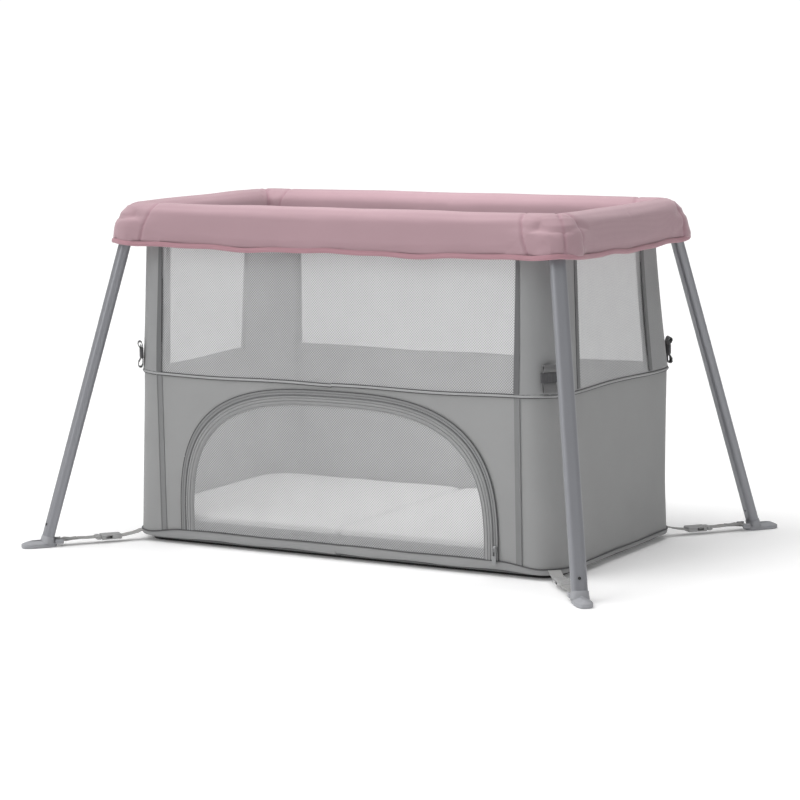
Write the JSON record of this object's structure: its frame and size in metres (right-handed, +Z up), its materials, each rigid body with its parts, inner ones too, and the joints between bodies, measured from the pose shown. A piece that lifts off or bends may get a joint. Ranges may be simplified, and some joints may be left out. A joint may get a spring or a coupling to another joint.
{
  "type": "folding travel playpen",
  "caption": "Rectangular folding playpen with a padded rail cover, see-through upper walls, fabric lower walls with an arched zip door, a mattress and splayed legs.",
  "frame": {"origin": "middle of the footprint on the floor", "axes": "+X along the length to the right, +Y to the back, +Z up; the door is in the front wall, at -Y"},
  "size_m": [1.2258, 0.856, 0.66],
  "materials": {
    "rail_metal": "satin",
    "leg_metal": "satin silver",
    "hub_plastic": "matte",
    "knuckle_plastic": "matte",
    "button_plastic": "gloss",
    "cover_fabric": "padded dusty rose",
    "mesh_fabric": "see-through",
    "post_fabric": "woven grey",
    "wall_fabric": "woven grey",
    "piping_fabric": "light grey",
    "base_fabric": "woven grey",
    "board_fabric": "stiffened",
    "mattress_fabric": "white quilted",
    "buckle_plastic": "satin light grey",
    "webbing": "webbing",
    "keeper_webbing": "webbing",
    "zip_tape": "zip tape",
    "foot_plastic": "matte",
    "door_fabric": "see-through with grey border",
    "zip_metal": "satin"
  },
  "bodies": {
    "left_frame": {"left_front_rail": "rail_metal", "left_back_rail": "rail_metal", "left_end_rail": "rail_metal", "left_front_hub": "hub_plastic", "left_back_hub": "hub_plastic", "left_knuckles": "knuckle_plastic", "left_cover": "cover_fabric", "left_mesh": "mesh_fabric", "left_posts": "post_fabric", "left_lower_wall": "wall_fabric", "left_piping": "piping_fabric", "left_floor_tray": "base_fabric", "left_sockets": "buckle_plastic", "left_strap_tails": "webbing", "left_keepers": "keeper_webbing", "left_zip_tape": "zip_tape"},
    "right_frame": {"right_front_rail": "rail_metal", "right_back_rail": "rail_metal", "right_end_rail": "rail_metal", "right_front_hub": "hub_plastic", "right_back_hub": "hub_plastic", "right_knuckles": "knuckle_plastic", "right_cover": "cover_fabric", "right_mesh": "mesh_fabric", "right_posts": "post_fabric", "right_lower_wall": "wall_fabric", "right_piping": "piping_fabric", "right_floor_tray": "base_fabric", "right_sockets": "buckle_plastic", "right_strap_tails": "webbing", "right_keepers": "keeper_webbing", "right_zip_tape": "zip_tape"},
    "mattress_left": {"left_board": "board_fabric", "left_mattress": "mattress_fabric"},
    "front_left_leg": {"front_left_leg": "leg_metal", "front_left_foot": "foot_plastic"},
    "front_left_strap": {"front_left_strap": "webbing", "front_left_tongue": "buckle_plastic"},
    "back_left_leg": {"back_left_leg": "leg_metal", "back_left_foot": "foot_plastic"},
    "back_left_strap": {"back_left_strap": "webbing", "back_left_tongue": "buckle_plastic"},
    "mattress_right": {"right_board": "board_fabric", "right_mattress": "mattress_fabric"},
    "front_right_leg": {"front_right_leg": "leg_metal", "front_right_foot": "foot_plastic"},
    "front_right_strap": {"front_right_strap": "webbing", "front_right_tongue": "buckle_plastic"},
    "back_right_leg": {"back_right_leg": "leg_metal", "back_right_foot": "foot_plastic"},
    "back_right_strap": {"back_right_strap": "webbing", "back_right_tongue": "buckle_plastic"},
    "door_left": {"door_left": "door_fabric"},
    "door_right": {"door_right": "door_fabric"},
    "zip_slider": {"zip_slider": "zip_metal"},
    "zip_pull": {"zip_pull": "zip_metal"},
    "front_lock_button": {"front_lock_button": "button_plastic"},
    "back_lock_button": {"back_lock_button": "button_plastic"}
  },
  "joints": [
    {"name": "frame_fold", "type": "hinge", "parent": "left_frame", "child": "right_frame", "pos_m": [0, 0, 0.592], "axis": [0, 1, 0], "range_deg": [0, 150], "deforming": ["left_cover", "left_mesh", "left_posts", "left_lower_wall", "left_piping", "left_floor_tray", "left_board", "left_mattress", "left_sockets", "left_strap_tails", "left_keepers", "left_zip_tape", "right_cover", "right_mesh", "right_posts", "right_lower_wall", "right_piping", "right_floor_tray", "right_board", "right_mattress", "right_sockets", "right_strap_tails", "right_keepers", "right_zip_tape", "door_left", "door_right"]},
    {"name": "front_left_leg_fold", "type": "hinge", "parent": "left_frame", "child": "front_left_leg", "pos_m": [-0.467, -0.252, 0.596], "axis": [0.9796, 0.0464, -0.1953], "range_deg": [0, 98.8]},
    {"name": "front_left_strap_swing", "type": "hinge", "parent": "front_left_leg", "child": "front_left_strap", "pos_m": [-0.56088, -0.36889, 0.011], "axis": [0.7644, -0.6448, 0], "range_deg": [0, 71]},
    {"name": "back_left_leg_fold", "type": "hinge", "parent": "left_frame", "child": "back_left_leg", "pos_m": [-0.467, 0.252, 0.596], "axis": [-0.9831, -0.0721, 0.1684], "range_deg": [0, 100.07]},
    {"name": "back_left_strap_swing", "type": "hinge", "parent": "back_left_leg", "child": "back_left_strap", "pos_m": [-0.56088, 0.36889, 0.011], "axis": [-0.7644, -0.6448, 0], "range_deg": [0, 66]},
    {"name": "front_right_leg_fold", "type": "hinge", "parent": "right_frame", "child": "front_right_leg", "pos_m": [0.467, -0.252, 0.596], "axis": [0.9796, -0.0464, 0.1953], "range_deg": [0, 98.8]},
    {"name": "front_right_strap_swing", "type": "hinge", "parent": "front_right_leg", "child": "front_right_strap", "pos_m": [0.56088, -0.36889, 0.011], "axis": [0.7644, 0.6448, 0], "range_deg": [0, 71]},
    {"name": "back_right_leg_fold", "type": "hinge", "parent": "right_frame", "child": "back_right_leg", "pos_m": [0.467, 0.252, 0.596], "axis": [-0.9831, 0.0721, -0.1684], "range_deg": [0, 100.07]},
    {"name": "back_right_strap_swing", "type": "hinge", "parent": "back_right_leg", "child": "back_right_strap", "pos_m": [0.56088, 0.36889, 0.011], "axis": [-0.7644, 0.6448, 0], "range_deg": [0, 66]},
    {"name": "door_fold", "type": "hinge", "parent": "left_frame", "child": "door_left", "pos_m": [-0.16, -0.25675, 0.0424], "axis": [1, 0, 0], "range_deg": [0, 95]},
    {"name": "door_fold_right", "type": "hinge", "parent": "right_frame", "child": "door_right", "pos_m": [0.16, -0.25675, 0.0424], "axis": [1, 0, 0], "range_deg": [0, 95]},
    {"name": "mattress_lift", "type": "slide", "parent": "left_frame", "child": "mattress_left", "axis": [0, 0, 1], "range_m": [0, 0.66]},
    {"name": "mattress_lift_right", "type": "slide", "parent": "right_frame", "child": "mattress_right", "axis": [0, 0, 1], "range_m": [0, 0.66]},
    {"name": "zip_slide", "type": "slide", "parent": "right_frame", "child": "zip_slider", "axis": [-0.0406, -0.0158, 0.9991], "range_m": [0, 0.07]},
    {"name": "zip_pull_swing", "type": "hinge", "parent": "zip_slider", "child": "zip_pull", "pos_m": [0.3425, -0.26271, 0.054], "axis": [-1, 0, 0], "range_deg": [0, 78]},
    {"name": "front_lock_press", "type": "slide", "parent": "left_frame", "child": "front_lock_button", "axis": [0, 1, 0], "range_m": [0, 0.003], "stiffness_N_per_m": 800, "springref_m": -0.001},
    {"name": "back_lock_press", "type": "slide", "parent": "left_frame", "child": "back_lock_button", "axis": [0, -1, 0], "range_m": [0, 0.003], "stiffness_N_per_m": 800, "springref_m": -0.001}
  ],
  "couplings": [
    {"joint": "front_left_leg_fold", "follows": "frame_fold", "ratio": 0.65531},
    {"joint": "front_left_strap_swing", "follows": "frame_fold", "ratio": 0.46667},
    {"joint": "back_left_leg_fold", "follows": "frame_fold", "ratio": 0.66383},
    {"joint": "back_left_strap_swing", "follows": "frame_fold", "ratio": 0.43333},
    {"joint": "front_right_leg_fold", "follows": "frame_fold", "ratio": 0.65531},
    {"joint": "front_right_strap_swing", "follows": "frame_fold", "ratio": 0.46667},
    {"joint": "back_right_leg_fold", "follows": "frame_fold", "ratio": 0.66383},
    {"joint": "back_right_strap_swing", "follows": "frame_fold", "ratio": 0.43333},
    {"joint": "door_fold_right", "follows": "door_fold", "ratio": 1},
    {"joint": "mattress_lift_right", "follows": "mattress_lift", "ratio": 1}
  ]
}
